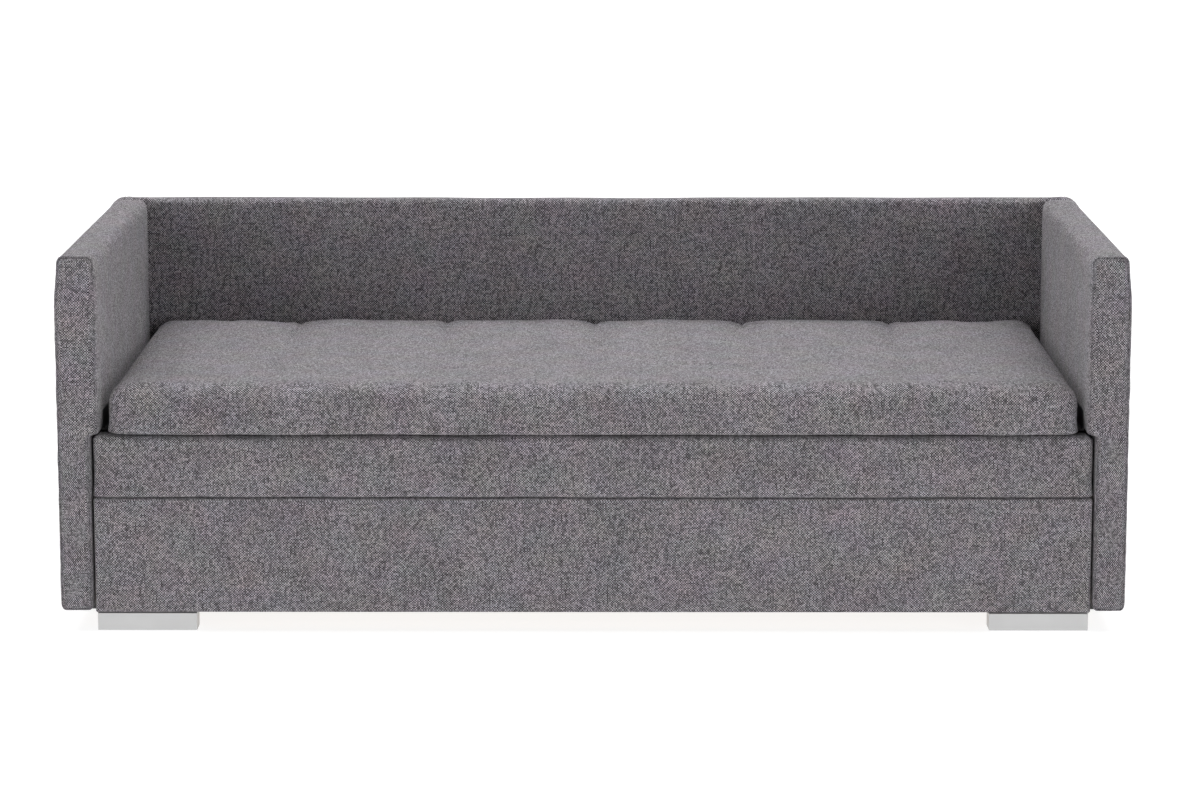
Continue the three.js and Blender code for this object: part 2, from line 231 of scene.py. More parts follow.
def stops(low, high, pitch, fine=(), offsets=()):
    """Places from low to high about pitch apart, with extra ones at each fine place plus each offset."""
    even = np.linspace(low, high, max(2, int(np.ceil((high - low) / pitch)) + 1))
    if not len(fine):
        return even
    close = (np.asarray(fine)[:, None] + np.asarray(offsets)[None, :]).ravel()
    reach = np.abs(even[:, None] - np.asarray(fine)[None, :]).min(axis=1)
    kept = even[(reach > max(offsets) + 0.35 * pitch) | (even == low) | (even == high)]
    return np.unique(np.concatenate([kept, close[(close > low) & (close < high)]]))


def rounded_outline(low, high, radii, runs, arc_steps=3):
    """Walks a rectangle with rounded corners anticlockwise, from the middle of its low-low corner.

    On side s the point is (1 - w)(c0 + r0 d) + w(c1 + r1 d), with c and r the corner arcs' centres and
    radii, d = (cos a, sin a), a turning through half a corner, standing still, then turning again.
    Returns points, outward directions and each side's number of steps."""
    signs = np.array([[1, 1], [-1, 1], [-1, -1], [1, -1]], float)
    corners = np.array([[low[0], low[1]], [high[0], low[1]], [high[0], high[1]], [low[0], high[1]]])
    radii = np.asarray(radii, float)
    centres = corners + radii[:, None] * signs
    points, outward, counts = [], [], []
    most = radii.max() + 0.25 * MM
    for side in range(4):
        following = (side + 1) % 4
        axis = side % 2
        begin, end = centres[side], centres[following]
        middle, face = np.radians(225 + 90 * side), np.radians(270 + 90 * side)
        run = np.asarray(runs[axis])
        run = run[(run > low[axis] + most) & (run < high[axis] - most)]
        run = np.sort((run - begin[axis]) / (end[axis] - begin[axis]))
        run = np.concatenate([[0.0], run])
        turn = np.arange(arc_steps) / arc_steps
        angle = np.concatenate([
            middle + (face - middle) * turn,
            np.full(len(run), face),
            face + (face - middle) * turn,
        ])
        w = np.concatenate([np.zeros(arc_steps), run, np.ones(arc_steps)])
        d = np.stack([np.cos(angle), np.sin(angle)], axis=1)
        points.append(
            (1 - w)[:, None] * (begin + radii[side] * d) + w[:, None] * (end + radii[following] * d)
        )
        outward.append(d)
        counts.append(len(angle))
    return np.concatenate(points), np.concatenate(outward), counts


def coons_patch(border, counts):
    """Fills a closed border of four sides: the two ruled surfaces between opposite sides, added, less the
    bilinear surface through the corners."""
    loop = np.concatenate([border, border[:1]])
    cuts = np.cumsum([0, *counts])
    bottom, right, top, left = (loop[cuts[k]: cuts[k + 1] + 1] for k in range(4))
    top, left = top[::-1], left[::-1]

    def shares(side):
        steps = np.concatenate([[0.0], np.cumsum(np.linalg.norm(np.diff(side, axis=0), axis=1))])
        return steps / steps[-1]

    u = (0.5 * (shares(bottom) + shares(top)))[:, None, None]
    v = (0.5 * (shares(left) + shares(right)))[None, :, None]
    ruled = (1 - v) * bottom[:, None] + v * top[:, None] + (1 - u) * left[None] + u * right[None]
    flat = (
        (1 - u) * (1 - v) * bottom[0] + u * (1 - v) * bottom[-1]
        + u * v * top[-1] + (1 - u) * v * top[0]
    )
    return ruled - flat


# a seam groove as (distance from the rounded edge, depth)
SEAM_GROOVE = np.array([[0.0012, 0.0016], [0.0024, 0.0020], [0.0040, 0.0004], [0.0070, 0.0]])


def edge_curve(low, high, low_radius, high_radius, pitch, grooved=False, front=None):
    """The pad's profile along its path as (place, inset) pairs: a quarter circle in at each end and an even
    run between, with a shallow seam groove just inside each end if grooved. front gives the pairs of the
    low end in full, with places from that end, where it isn't a quarter circle."""
    phi = np.linspace(0.0, math.pi / 2, 5)
    near = np.stack([low + low_radius * (1 - np.cos(phi)), low_radius * (1 - np.sin(phi))], axis=1)
    if front is not None:
        near = np.asarray(front) + np.array([low, 0.0])
    far = np.stack([high - high_radius * (1 - np.cos(phi)), high_radius * (1 - np.sin(phi))], axis=1)[::-1]
    if grooved:
        near = np.concatenate([near, [near[-1, 0], 0.0] + SEAM_GROOVE])
        far = np.concatenate([[far[0, 0], 0.0] + SEAM_GROOVE[::-1] * [-1.0, 1.0], far])
    middle = stops(near[-1, 0], far[0, 0], pitch)[1:-1]
    return np.concatenate([near, np.stack([middle, np.zeros_like(middle)], axis=1), far])


def pad_surface(points, outward, counts, curve, axes, carry=False):
    """A closed pad: the outline, moved in by the curve's inset along its own outward directions, is carried
    from place to place along the third axis, and each end is filled by a patch.

    Returns points, four-sided faces and the cloth's flat coordinates at every face corner, in metres."""
    place, inset = curve[:, 0], curve[:, 1]
    rows = points[None] - inset[:, None, None] * outward[None]
    rows = np.concatenate([rows, rows[:, :1]], axis=1)
    walk = np.linalg.norm(np.diff(rows[len(rows) // 2], axis=0), axis=1)
    around = np.concatenate([[0.0], np.cumsum(walk)])
    half = counts[0] // 2
    around += points[half, 0] - around[half]
    length = np.concatenate([[0.0], np.cumsum(np.hypot(np.diff(place), np.diff(inset)))])
    mid = len(place) // 2
    length += place[mid] - length[mid]

    def spread(flat, level):
        out = np.empty(flat.shape[:-1] + (3,))
        out[..., axes[0]] = flat[..., 0]
        out[..., axes[1]] = flat[..., 1]
        out[..., axes[2]] = level
        return out

    side_uv = np.stack(np.broadcast_arrays(around[None, :], length[:, None]), axis=2)
    if not carry:
        side_uv = side_uv[..., ::-1]
    grids = [(spread(rows, place[:, None]), side_uv, True)]
    for row, level, end in ((0, place[0], length[0]), (-1, place[-1], length[-1])):
        cap = coons_patch(rows[row, :-1], counts)
        uv = cap.copy()
        if carry:
            uv[..., 1] += end - cap[..., 1].min()
        grids.append((spread(cap, level), uv, row == 0))
    return join_grids(grids)


def join_grids(grids):
    """Puts grids of points into one closed mesh: shared border points become one, and if the signed volume
    (the sum of each face's corner times its area direction) is negative, every face is turned round."""
    verts, uvs, quads, base = [], [], [], 0
    for points, uv, turned in grids:
        rows, cols = points.shape[:2]
        index = base + np.arange(rows * cols).reshape(rows, cols)
        face = np.stack([index[:-1, :-1], index[1:, :-1], index[1:, 1:], index[:-1, 1:]], axis=2)
        face = face.reshape(-1, 4)
        quads.append(face[:, ::-1] if turned else face)
        verts.append(points.reshape(-1, 3))
        uvs.append(uv.reshape(-1, 2))
        base += rows * cols
    verts, uvs, quads = np.concatenate(verts), np.concatenate(uvs), np.concatenate(quads)
    _, first, where = np.unique(np.round(verts, 6), axis=0, return_index=True, return_inverse=True)
    faces = where.reshape(-1)[quads]
    verts = verts[first]
    a, b, c, d = (verts[faces[:, k]] for k in range(4))
    if np.einsum("ij,ij->", a + b + c + d, np.cross(c - a, d - b)) < 0:
        faces, quads = faces[:, ::-1], quads[:, ::-1]
    return verts, faces, uvs[quads]


def turned_surface(centre, profile, steps=64, bore=None, axis=0):
    """A surface turned about the given axis through centre. profile is (place along it, radius) pairs, and
    the point at angle a is (place, r cos a, r sin a). bore marks the pairs whose ring is a hexagon that
    stands r from the axis at the middle of its sides, as a socket does."""
    profile = np.asarray(profile, float)
    angle = np.linspace(0.0, 2 * math.pi, steps + 1)
    radius = np.repeat(profile[:, 1:2], steps + 1, axis=1)
    if bore is not None:
        sector = np.mod(angle + math.pi / 6, math.pi / 3) - math.pi / 6
        hexagon = 1.0 / np.cos(sector)
        radius = np.where(np.asarray(bore)[:, None], radius * hexagon[None], radius)
    out = np.empty((len(profile), steps + 1, 3))
    out[..., axis] = centre[axis] + profile[:, 0:1]
    out[..., 1 - axis] = centre[1 - axis] + radius * np.cos(angle)
    out[..., 2] = centre[2] + radius * np.sin(angle)
    out[:, -1] = out[:, 0]
    walk = np.concatenate([[0.0], np.cumsum(np.hypot(*np.diff(profile, axis=0).T))])
    uv = np.stack(np.broadcast_arrays(walk[:, None], 0.02 * angle[None]), axis=2)
    return join_grids([(out, uv, False)])


def ripple(u, v, seed, wave, count=9):
    """Soft unevenness between about -1 and 1: a mean of sine waves of random direction and phase, each about
    wave metres long."""
    rng = np.random.default_rng(seed)
    turn = rng.uniform(0, 2 * math.pi, count)
    phase = rng.uniform(0, 2 * math.pi, count)
    number = 2 * math.pi / (wave * rng.uniform(0.7, 1.6, count))
    total = sum(
        np.sin(number[k] * (u * np.cos(turn[k]) + v * np.sin(turn[k])) + phase[k]) for k in range(count)
    )
    return total / math.sqrt(count)


# ---------------------------------------------------------------- meshes


def make_piece(name, verts, faces, uvs, material):
    """A mesh object at the origin, with smooth faces and one UV map. A face that has the same point at two
    neighbouring corners, as at a pole, becomes a triangle."""
    mesh = bpy.data.meshes.new(name)
    distinct = faces != np.roll(faces, 1, axis=1)
    full = distinct.sum(axis=1) > 2
    faces, uvs, distinct = faces[full], uvs[full], distinct[full]
    corners, uvs = faces[distinct], uvs[distinct]
    starts = np.concatenate([[0], np.cumsum(distinct.sum(axis=1))[:-1]])
    mesh.vertices.add(len(verts))
    mesh.vertices.foreach_set("co", np.ascontiguousarray(verts, np.float32).ravel())
    mesh.loops.add(len(corners))
    mesh.loops.foreach_set("vertex_index", np.ascontiguousarray(corners, np.int32))
    mesh.polygons.add(len(faces))
    mesh.polygons.foreach_set("loop_start", starts.astype(np.int32))
    mesh.update(calc_edges=True)
    layer = mesh.uv_layers.new(name=UV_NAME)
    layer.data.foreach_set("uv", np.ascontiguousarray(uvs, np.float32).ravel())
    mesh.polygons.foreach_set("use_smooth", np.ones(len(faces), bool))
    mesh.materials.append(material)
    mesh.validate()
    piece = bpy.data.objects.new(name, mesh)
    bpy.context.scene.collection.objects.link(piece)
    return piece


def coordinates(mesh):
    """All of a mesh's points as one array."""
    co = np.empty(len(mesh.vertices) * 3, np.float32)
    mesh.vertices.foreach_get("co", co)
    return co.reshape(-1, 3).astype(float)


def set_coordinates(mesh, points):
    """Writes all of a mesh's points from one array."""
    mesh.vertices.foreach_set("co", np.ascontiguousarray(points, np.float32).ravel())
    mesh.update()


def fill_pad(piece, held, reach, frames=20):
    """Blows the cover up with the cloth solver. held says where the cover is fixed; a point that moves d
    from where it was cut ends reach times tanh(d / reach) from there, so never more than reach."""
    cut = coordinates(piece.data)
    group = piece.vertex_groups.new(name="held")
    group.add(np.flatnonzero(held).tolist(), 1.0, "REPLACE")
    cloth = piece.modifiers.new("filling", "CLOTH")
    rules = cloth.settings
    rules.quality = 5
    rules.mass = 0.25
    rules.tension_stiffness = rules.compression_stiffness = 18.0
    rules.shear_stiffness = 8.0
    rules.bending_stiffness = 1.2
    rules.shrink_min = -0.006
    rules.use_pressure = True
    rules.uniform_pressure_force = bpy.context.scene.bed_pads.pressure
    rules.vertex_group_mass = group.name
    rules.effector_weights.gravity = 0.0
    cloth.collision_settings.use_collision = False
    cloth.point_cache.frame_start = 1
    cloth.point_cache.frame_end = frames
    scene = bpy.context.scene
    for number in range(1, frames + 1):
        scene.frame_set(number)
    solved = piece.evaluated_get(bpy.context.evaluated_depsgraph_get())
    puffed = coordinates(solved.data)
    piece.modifiers.remove(cloth)
    piece.vertex_groups.remove(group)
    scene.frame_set(1)
    move = puffed - cut
    size = np.linalg.norm(move, axis=1, keepdims=True)
    limit = np.broadcast_to(reach, len(cut))[:, None]
    gain = limit * np.tanh(size / limit) / np.maximum(size, 1e-9)
    set_coordinates(piece.data, cut + move * gain)


def subdivide(piece, levels=1):
    """One live Subdivision Surface, the same in view and render."""
    smooth = piece.modifiers.new("smooth", "SUBSURF")
    smooth.levels = smooth.render_levels = levels
    smooth.boundary_smooth = "ALL"


def settle(piece, body, slot, *nodes):
    """Puts a piece on the body it rides on and hides the CAD nodes that it stands for; slot is not used."""
    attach(piece, body)
    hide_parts(*nodes)
    return piece


def finish_pad(piece, held, reach, body, node):
    fill_pad(piece, held, reach)
    subdivide(piece)
    settle(piece, body, GREY_WEAVE, node)


def body_of(node):
    """The body that a CAD node rides on."""
    return frame["nodes"][node]["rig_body"]


def grain_uv(verts, normals, corners, loop_face, long_axis, shift):
    """Flat coordinates in metres with the first one along the grain: every face is laid flat on the two axes
    that it faces least."""
    facing = np.argmax(np.abs(normals), axis=1)[loop_face]
    others = np.array([[1, 2], [0, 2], [0, 1]])
    pair = others[facing]
    swap = pair[:, 1] == long_axis
    pair[swap] = pair[swap][:, ::-1]
    points = verts[corners]
    rows = np.arange(len(corners))
    return np.stack([points[rows, pair[:, 0]], points[rows, pair[:, 1]]], axis=1) + shift


def eased_copy(node, easing, material, segments=2):
    """A CAD node's own faces with doubles merged and edges eased by a live bevel."""
    import bmesh

    source = frame["nodes"][node]
    work = bmesh.new()
    work.from_mesh(source.data)
    bmesh.ops.remove_doubles(work, verts=work.verts, dist=1e-6)
    bmesh.ops.dissolve_limit(work, angle_limit=0.01, verts=work.verts, edges=work.edges)
    bmesh.ops.recalc_face_normals(work, faces=work.faces)
    work.verts.index_update()
    verts = np.array([v.co for v in work.verts])
    faces = [[v.index for v in f.verts] for f in work.faces]
    work.free()
    mesh = bpy.data.meshes.new(node + "_eased")
    mesh.from_pydata(verts.tolist(), [], faces)
    mesh.polygons.foreach_set("use_smooth", np.ones(len(mesh.polygons), bool))
    mesh.materials.append(material)
    normals = np.empty(len(mesh.polygons) * 3, np.float32)
    mesh.polygons.foreach_get("normal", normals)
    totals = np.empty(len(mesh.polygons), np.int32)
    mesh.polygons.foreach_get("loop_total", totals)
    corners = np.empty(len(mesh.loops), np.int32)
    mesh.loops.foreach_get("vertex_index", corners)
    long_axis = int(np.argmax(np.ptp(verts, axis=0)))
    shift = np.array([0.371, 0.613]) * (sorted(frame["nodes"]).index(node) + 1)
    uv = grain_uv(
        verts, normals.reshape(-1, 3), corners, np.repeat(np.arange(len(totals)), totals), long_axis, shift
    )
    layer = mesh.uv_layers.new(name=UV_NAME)
    layer.data.foreach_set("uv", np.ascontiguousarray(uv, np.float32).ravel())
    piece = bpy.data.objects.new(node + "_eased", mesh)
    bpy.context.scene.collection.objects.link(piece)
    bevel = piece.modifiers.new("easing", "BEVEL")
    bevel.width = easing
    bevel.segments = segments
    bevel.limit_method = "ANGLE"
    bevel.angle_limit = math.radians(35)
    bevel.harden_normals = True
    return piece


# ---------------------------------------------------------------- materials


class Recipe:
    """A material's node tree, written as sums."""

    def __init__(self, name):
        self.material = bpy.data.materials.new(name)
        self.material.use_nodes = True
        self.tree = self.material.node_tree
        self.tree.nodes.clear()
        self.shader = self.add("ShaderNodeBsdfPrincipled")
        out = self.add("ShaderNodeOutputMaterial")
        self.tree.links.new(self.shader.outputs[0], out.inputs["Surface"])

    def add(self, kind, **settings):
        node = self.tree.nodes.new(kind)
        for key, value in settings.items():
            setattr(node, key, value)
        return node

    def feed(self, socket, value):
        if isinstance(value, bpy.types.NodeSocket):
            self.tree.links.new(value, socket)
        elif value is not None:
            socket.default_value = value

    def sum(self, operation, *values, clamp=False):
        node = self.add("ShaderNodeMath", operation=operation, use_clamp=clamp)
        for socket, value in zip(node.inputs, values):
            self.feed(socket, value)
        return node.outputs[0]

    def vector(self, x, y, z=0.0):
        node = self.add("ShaderNodeCombineXYZ")
        for socket, value in zip(node.inputs, (x, y, z)):
            self.feed(socket, value)
        return node.outputs[0]

    def noise(self, vector, scale, detail=2.0, rough=0.5, flat=False, colour=False):
        node = self.add("ShaderNodeTexNoise", noise_dimensions="2D" if flat else "3D")
        self.feed(node.inputs["Vector"], vector)
        node.inputs["Scale"].default_value = scale
        node.inputs["Detail"].default_value = detail
        node.inputs["Roughness"].default_value = rough
        return node.outputs["Color" if colour else "Fac"]

    def white(self, vector):
        node = self.add("ShaderNodeTexWhiteNoise", noise_dimensions="2D")
        self.feed(node.inputs["Vector"], vector)
        return node.outputs["Value"]

    def remap(self, value, low, high, to_low=0.0, to_high=1.0):
        node = self.add("ShaderNodeMapRange", clamp=True)
        for key, item in (("Value", value), ("From Min", low), ("From Max", high),
                          ("To Min", to_low), ("To Max", to_high)):
            self.feed(node.inputs[key], item)
        return node.outputs[0]

    def blend(self, share, a, b, how="MIX"):
        node = self.add("ShaderNodeMix", data_type="RGBA", blend_type=how)
        self.feed(node.inputs[0], share)
        for socket, value in ((node.inputs[6], a), (node.inputs[7], b)):
            if not isinstance(value, bpy.types.NodeSocket):
                value = (*value, 1.0)
            self.feed(socket, value)
        return node.outputs[2]

    def bump(self, height, distance, strength=1.0, under=None):
        node = self.add("ShaderNodeBump")
        node.inputs["Distance"].default_value = distance
        node.inputs["Strength"].default_value = strength
        self.feed(node.inputs["Height"], height)
        self.feed(node.inputs["Normal"], under)
        return node.outputs[0]

    def finish(self, colour, rough, normal=None, **sockets):
        self.feed(self.shader.inputs["Base Color"], colour)
        self.feed(self.shader.inputs["Roughness"], rough)
        self.feed(self.shader.inputs["Normal"], normal)
        for key, value in sockets.items():
            self.shader.inputs[key.replace("_", " ")].default_value = value
        return self.material


def surface_uv(recipe):
    """The piece's own flat coordinates, in metres."""
    return recipe.add("ShaderNodeUVMap", uv_map=UV_NAME).outputs[0]


def object_place(recipe):
    """The place on the object, in metres."""
    return recipe.add("ShaderNodeTexCoord").outputs["Object"]


def weave_material():
    """Plain weave of light warp and charcoal weft, one over and one under, with slubs in both. Each yarn's
    colour is painted darker towards its edges, as painted shade in the gaps between the yarns.
    """
    cloth = bpy.context.scene.bed_cloth
    r = Recipe("Grey weave")
    uv = surface_uv(r)
    split = r.add("ShaderNodeSeparateXYZ")
    r.feed(split.inputs[0], uv)
    waver = r.add("ShaderNodeSeparateXYZ")
    r.feed(waver.inputs[0], r.noise(uv, 24.0, 1.0, flat=True, colour=True))
    per_metre = 1.0 / cloth.thread
    x = r.sum("MULTIPLY_ADD", waver.outputs[0], 0.9, r.sum("MULTIPLY", split.outputs[0], per_metre))
    y = r.sum("MULTIPLY_ADD", waver.outputs[1], 0.9, r.sum("MULTIPLY", split.outputs[1], per_metre))
    column, row = r.sum("FLOOR", x), r.sum("FLOOR", y)
    over = r.sum("FLOORED_MODULO", r.sum("ADD", column, row), 2.0)
    along = cloth.thread / cloth.slub
    warp_run = r.noise(r.vector(r.sum("MULTIPLY", column, 7.31), r.sum("MULTIPLY", y, along)), 1.0, 1.0,
                       flat=True)
    weft_run = r.noise(r.vector(r.sum("MULTIPLY", x, along), r.sum("MULTIPLY", row, 7.31)), 1.0, 1.0,
                       flat=True)
    speck = r.white(r.vector(column, row))
    warp = r.sum("MULTIPLY_ADD", r.remap(warp_run, 0.28, 0.72), 0.26, 0.52)
    weft = r.sum("MULTIPLY_ADD", r.remap(weft_run, 0.34, 0.78), 0.24, -0.14)
    yarn = r.sum("ADD", r.sum("MULTIPLY", warp, over),
                 r.sum("MULTIPLY", weft, r.sum("SUBTRACT", 1.0, over)))
    yarn = r.sum("MULTIPLY_ADD", r.sum("SUBTRACT", speck, 0.5), 0.68, yarn, clamp=True)
    fx = r.sum("SINE", r.sum("MULTIPLY", r.sum("FRACT", x), math.pi))
    fy = r.sum("SINE", r.sum("MULTIPLY", r.sum("FRACT", y), math.pi))
    dome = r.sum("MULTIPLY", fx, fy)
    # painted shade: the colour falls to 0.72 at the edges of each yarn cell, standing in for shade in the
    # gaps between the yarns
    shade = r.sum("MULTIPLY_ADD", dome, 0.35, 0.72)
    patch = r.noise(uv, 7.0, 2.0, flat=True)
    # random lighter and darker patches of cloth, multiplied onto the painted shade
    shade = r.sum("MULTIPLY", shade, r.remap(patch, 0.25, 0.75, 0.93, 1.07))
    tone = r.blend(yarn, tuple(cloth.dark), tuple(cloth.light))
    tint = r.blend(0.06, tone, r.noise(uv, 13.0, 1.0, flat=True, colour=True), "OVERLAY")
    # the yarn colour scaled by the painted gap shade and the random patches
    level = r.add("ShaderNodeVectorMath", operation="SCALE")
    r.feed(level.inputs[0], tint)
    r.feed(level.inputs["Scale"], shade)
    lift = r.sum("MULTIPLY_ADD", yarn, 0.4, dome)
    normal = r.bump(lift, cloth.relief, 0.6)
    return r.finish(level.outputs[0], 0.92, normal, Sheen_Weight=0.12, Sheen_Roughness=0.45,
                    Specular_IOR_Level=0.25)


def wood_material(name, colour):
    """Long grain along the first flat coordinate: stretched noise bands, fine pores and slow lighter patches.
    """
    r = Recipe(name)
    uv = surface_uv(r)
    stretch = r.add("ShaderNodeMapping")
    r.feed(stretch.inputs["Vector"], uv)
    stretch.inputs["Scale"].default_value = (1.6, 26.0, 1.0)
    rings = r.noise(stretch.outputs[0], 1.4, 4.0, 0.6, flat=True)
    pores = r.add("ShaderNodeMapping")
    r.feed(pores.inputs["Vector"], uv)
    pores.inputs["Scale"].default_value = (30.0, 900.0, 1.0)
    fine = r.noise(pores.outputs[0], 1.0, 2.0, 0.6, flat=True)
    bands = r.sum("SINE", r.sum("MULTIPLY", rings, 38.0))
    late = tuple(c * k for c, k in zip(colour, (0.72, 0.60, 0.48)))
    early = tuple(min(1.0, c * 1.12) for c in colour)
    tone = r.blend(r.remap(bands, -0.6, 1.0, 0.0, 0.75), early, late)
    tone = r.blend(r.remap(fine, 0.35, 0.7, 0.0, 0.28), tone, late)
    tone = r.blend(r.remap(r.noise(uv, 3.0, 1.0, flat=True), 0.3, 0.7, 0.0, 0.25), tone, early)
    rough = r.remap(fine, 0.2, 0.8, 0.5, 0.68)
    return r.finish(tone, rough, r.bump(fine, 0.0002, 0.5), Specular_IOR_Level=0.35)


def board_material(colour):
    """Particle board: two sizes of chips, light and dark."""
    r = Recipe("Particle board")
    place = object_place(r)
    chips = r.add("ShaderNodeTexVoronoi", feature="F1")
    r.feed(chips.inputs["Vector"], place)
    chips.inputs["Scale"].default_value = 260.0
    shade = r.add("ShaderNodeSeparateColor")
    r.feed(shade.inputs[0], chips.outputs["Color"])
    fine = r.noise(place, 900.0, 2.0)
    dark = tuple(c * 0.55 for c in colour)
    light = tuple(min(1.0, c * 1.35) for c in colour)
    tone = r.blend(r.remap(shade.outputs[0], 0.1, 0.9), dark, light)
    tone = r.blend(r.remap(fine, 0.3, 0.7, 0.0, 0.5), tone, colour)
    return r.finish(tone, 0.85, r.bump(fine, 0.0004, 0.5), Specular_IOR_Level=0.2)


def coated_material(name, colour, rough, metallic=0.0, grain=700.0, depth=0.00006, worn=0.12):
    """A coated or moulded face: fine orange peel, slow changes in gloss, a little dust."""
    r = Recipe(name)
    place = object_place(r)
    peel = r.noise(place, grain, 3.0)
    slow = r.noise(place, 9.0, 2.0)
    pale = tuple(min(1.0, c * (1.0 + worn) + 0.01) for c in colour)
    deep = tuple(c * (1.0 - worn) for c in colour)
    tone = r.blend(r.remap(slow, 0.3, 0.7), deep, pale)
    gloss = r.remap(r.sum("ADD", slow, r.sum("MULTIPLY", peel, 0.5)), 0.5, 1.0, rough - 0.06, rough + 0.08)
    return r.finish(tone, gloss, r.bump(peel, depth, 0.5), Metallic=metallic)


def zinc_material(colour):
    """Zinc plate: crystal patches of slightly different brightness under fine scratches."""
    r = Recipe("Zinc plate")
    place = object_place(r)
    spangle = r.add("ShaderNodeTexVoronoi", feature="F1")
    r.feed(spangle.inputs["Vector"], place)
    spangle.inputs["Scale"].default_value = 220.0
    shade = r.add("ShaderNodeSeparateColor")
    r.feed(shade.inputs[0], spangle.outputs["Color"])
    tone = r.blend(r.remap(shade.outputs[1], 0.0, 1.0, 0.0, 0.4), colour, tuple(c * 0.72 for c in colour))
    fine = r.noise(place, 1600.0, 2.0)
    return r.finish(tone, r.remap(fine, 0.3, 0.7, 0.28, 0.42), r.bump(fine, 0.00003, 0.4), Metallic=1.0)


# the finish of each of the record's slots
MAKERS = {
    GREY_WEAVE: lambda colours: weave_material(),
    "pine": lambda colours: wood_material("Pine", colours.pine),
    "plywood": lambda colours: wood_material("Plywood", colours.plywood),
    "core_board": lambda colours: board_material(colours.board),
    "black_steel": lambda colours: coated_material("Black powder coat", colours.steel, 0.45),
    "silver_paint": lambda colours: coated_material(
        "Silver paint", colours.silver, 0.5, grain=900.0, worn=0.04
    ),
    "zinc_plate": lambda colours: zinc_material(colours.zinc),
    "black_plastic": lambda colours: coated_material("Black plastic", colours.plastic, 0.5, grain=1500.0),
    "wheel_plastic": lambda colours: coated_material("Wheel nylon", colours.nylon, 0.4, grain=500.0),
    "black_rubber": lambda colours: coated_material("Black rubber", colours.rubber, 0.75, grain=400.0),
}
MADE = {}


def finish_for(slot):
    """The material for one of the record's slots, made once."""
    if slot not in MADE:
        MADE[slot] = MAKERS[slot](bpy.context.scene.bed_finish)
    return MADE[slot]


# ---------------------------------------------------------------- upholstery


# how wide a cover's hem is held to its frame, and where the cross seams begin behind the front edge
HEM = 0.012
SEAM_START = -0.30
# how far the outer faces of the arms and the back lean inwards at the top, and over what height
ARM_LEAN = 0.007
BACK_LEAN = 0.0075
LEAN_HEIGHT = 0.11


def lean_in(height, top, depth):
    """How far a face leans inwards: nothing up to LEAN_HEIGHT below the top, easing to depth at the top."""
    return depth * ease((height - (top - LEAN_HEIGHT)) / LEAN_HEIGHT)


def seam_places(low, high):
    """Even cross seams between a mattress's two ends."""
    number = bpy.context.scene.bed_pads.quilting
    return np.linspace(low, high, number + 2)[1:-1]


def mattress(name, low, high, corner, top_edge, bottom_edge, crown, seed):
    """A mattress: its outline from above, carried upwards, with seams across its top."""
    pads = bpy.context.scene.bed_pads
    seams = seam_places(low[0], high[0])
    offsets = (-0.009, -0.005, -0.002, 0.0, 0.002, 0.005, 0.009)
    runs = (stops(low[0], high[0], pads.pitch, seams, offsets), stops(low[1], high[1], pads.pitch))
    points, outward, counts = rounded_outline(low[:2], high[:2], [corner] * 4, runs, 4)
    curve = edge_curve(low[2], high[2], bottom_edge, top_edge, pads.pitch)
    verts, faces, uvs = pad_surface(points, outward, counts, curve, (0, 1, 2), carry=True)
    piece = make_piece(name, verts, faces, uvs, finish_for(GREY_WEAVE))
    co = coordinates(piece.data)
    span = seams[1] - seams[0]
    height = high[2] - low[2]
    top_share = ease((co[:, 2] - (high[2] - 1.6 * top_edge)) / (1.6 * top_edge))
    across = (co[:, 1] - low[1]) / (high[1] - low[1])
    nearest = np.abs(co[:, 0][:, None] - seams[None, :]).min(axis=1)
    rear = 0.25 + 0.75 * ease((across - 0.25) / 0.75)
    swell = np.abs(np.sin(math.pi * (co[:, 0] - low[0]) / span)) ** 0.6
    dip = np.exp(-nearest / 0.010) * rear
    co[:, 2] += top_share * (crown * swell * (0.35 + 0.65 * np.sin(math.pi * across)) - pads.seam_depth * dip)
    front = ease((low[1] + 0.04 - co[:, 1]) / 0.03)
    low_part = 1 - ease((co[:, 2] - low[2]) / (0.5 * height))
    co[:, 1] += front * 0.0016 * ripple(co[:, 0], co[:, 2] * 2.0, seed + 2, 0.22)
    co[:, 2] += low_part * front * 0.0006 * ripple(co[:, 0], co[:, 1], seed + 3, 0.16)
    co[:, 2] += top_share * 0.0011 * ripple(co[:, 0], co[:, 1] * 0.6, seed, 0.13)
    set_coordinates(piece.data, co)
    return piece, co, nearest, top_share


class BED_OT_upper_mattress(bpy.types.Operator):
    """Makes the upper mattress: soft top edge, six crowned panels, five cross seams"""

    bl_idname = "trundle_bed.upper_mattress"
    bl_label = "Upper mattress"

    def execute(self, context):
        pads = context.scene.bed_pads
        low, high = (np.array(c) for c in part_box("upper_mattress"))
        low[2], high[2] = low[2] - 3 * MM, high[2] - 3 * MM
        piece, co, nearest, top = mattress(
            "upper_mattress_pad", low, high, pads.seat_corner, pads.seat_edge, 0.006, 0.0025, 11
        )
        held = (co[:, 2] < low[2] + HEM) | ((nearest < 0.003) & (co[:, 1] > SEAM_START))
        reach = np.where(top > 0.5, 0.0055, 0.004)
        finish_pad(piece, held, reach, "daybed", "upper_mattress")
        return {"FINISHED"}


class BED_OT_trundle_mattress(bpy.types.Operator):
    """Makes the trundle's mattress, whose front edge shows as a band under the seat"""

    bl_idname = "trundle_bed.trundle_mattress"
    bl_label = "Trundle mattress"

    def execute(self, context):
        pads = context.scene.bed_pads
        low, high = (np.array(c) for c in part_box("trundle_mattress"))
        high[2] -= 2.5 * MM
        piece, co, nearest, top = mattress(
            "trundle_mattress_pad", low, high, 0.018, pads.lower_edge, 0.006, 0.0015, 23
        )
        held = (co[:, 2] < low[2] + 0.010) | ((nearest < 0.003) & (co[:, 1] > SEAM_START))
        reach = np.where(top > 0.5, 0.0015, 0.003)
        finish_pad(piece, held, reach, "trundle", "trundle_mattress")
        return {"FINISHED"}


